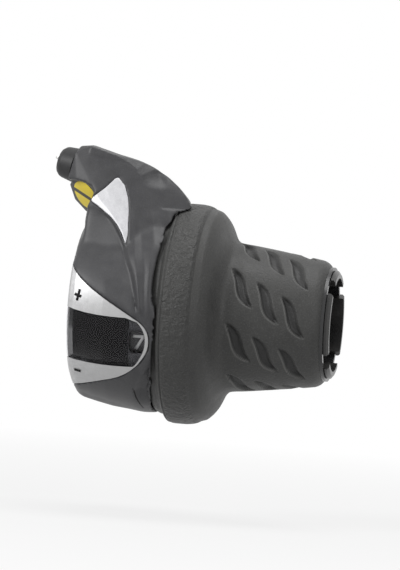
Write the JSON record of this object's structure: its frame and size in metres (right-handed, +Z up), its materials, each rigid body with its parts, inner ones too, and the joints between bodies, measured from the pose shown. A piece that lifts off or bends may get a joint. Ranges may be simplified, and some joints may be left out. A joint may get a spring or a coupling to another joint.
{
  "type": "twist grip shifter",
  "caption": "Right-hand twist grip gear shifter for a handlebar, with a clamp, a gear window, a cable horn with adjuster and a turning rubber grip.",
  "frame": {"origin": "centre of the clamp bore on the handlebar's axis", "axes": "+X along the bar to the grip's open end, -Y towards the rider who reads the window, +Z up, towards the cable horn"},
  "size_m": [0.0713, 0.054, 0.0664],
  "materials": {
    "housing": "fine satin texture",
    "base": "satin",
    "core": "smooth",
    "rubber": "fine grain",
    "bezel": "silver paint",
    "insert": "pale silver paint",
    "lens": "clear, polished",
    "card": "smooth",
    "dial": "printed with plain numbers",
    "cap": "satin",
    "disc": "plain label",
    "barrel": "satin",
    "mechanism": "natural",
    "guide": "low friction liner",
    "steel": "zinc plated",
    "wire": "stranded",
    "brass": "turned"
  },
  "bodies": {
    "housing": {"front_cover": "housing", "clamp_base": "base", "clamp_screw": "steel", "clamp_nut": "steel", "cover_screws": "steel", "inner_sleeve": "core", "thrust_washer": "steel", "detent_spring": "steel", "cable_guide": "guide", "inner_wire": "wire", "indicator_bezel": "bezel", "indicator_lens": "lens", "indicator_card": "card", "silver_insert": "insert", "cable_port_cap": "cap", "port_disc": "disc", "barrel_spring": "steel"},
    "grip": {"rubber_grip": "rubber", "grip_core": "core", "cable_spool": "mechanism", "detent_ring": "steel", "gear_dial": "dial", "wire_head": "wire"},
    "casing_seat": {"casing_seat": "brass"},
    "barrel": {"adjuster_barrel": "barrel"}
  },
  "joints": [
    {"name": "grip_turn", "type": "hinge", "parent": "housing", "child": "grip", "pos_m": [0.03, 0, 0], "axis": [1, 0, 0], "range_deg": [0, 75], "deforming": ["inner_wire", "detent_spring"]},
    {"name": "barrel_advance", "type": "slide", "parent": "housing", "child": "casing_seat", "axis": [-0.9637, 0.144, 0.2249], "range_m": [0, 0.0024], "deforming": ["barrel_spring"]},
    {"name": "barrel_turn", "type": "hinge", "parent": "casing_seat", "child": "barrel", "pos_m": [-0.00805, -0.0075, 0.034], "axis": [-0.9637, 0.144, 0.2249], "range_deg": [0, 1080]}
  ],
  "couplings": [
    {"joint": "barrel_turn", "follows": "barrel_advance", "rad_per_m": 7854}
  ]
}
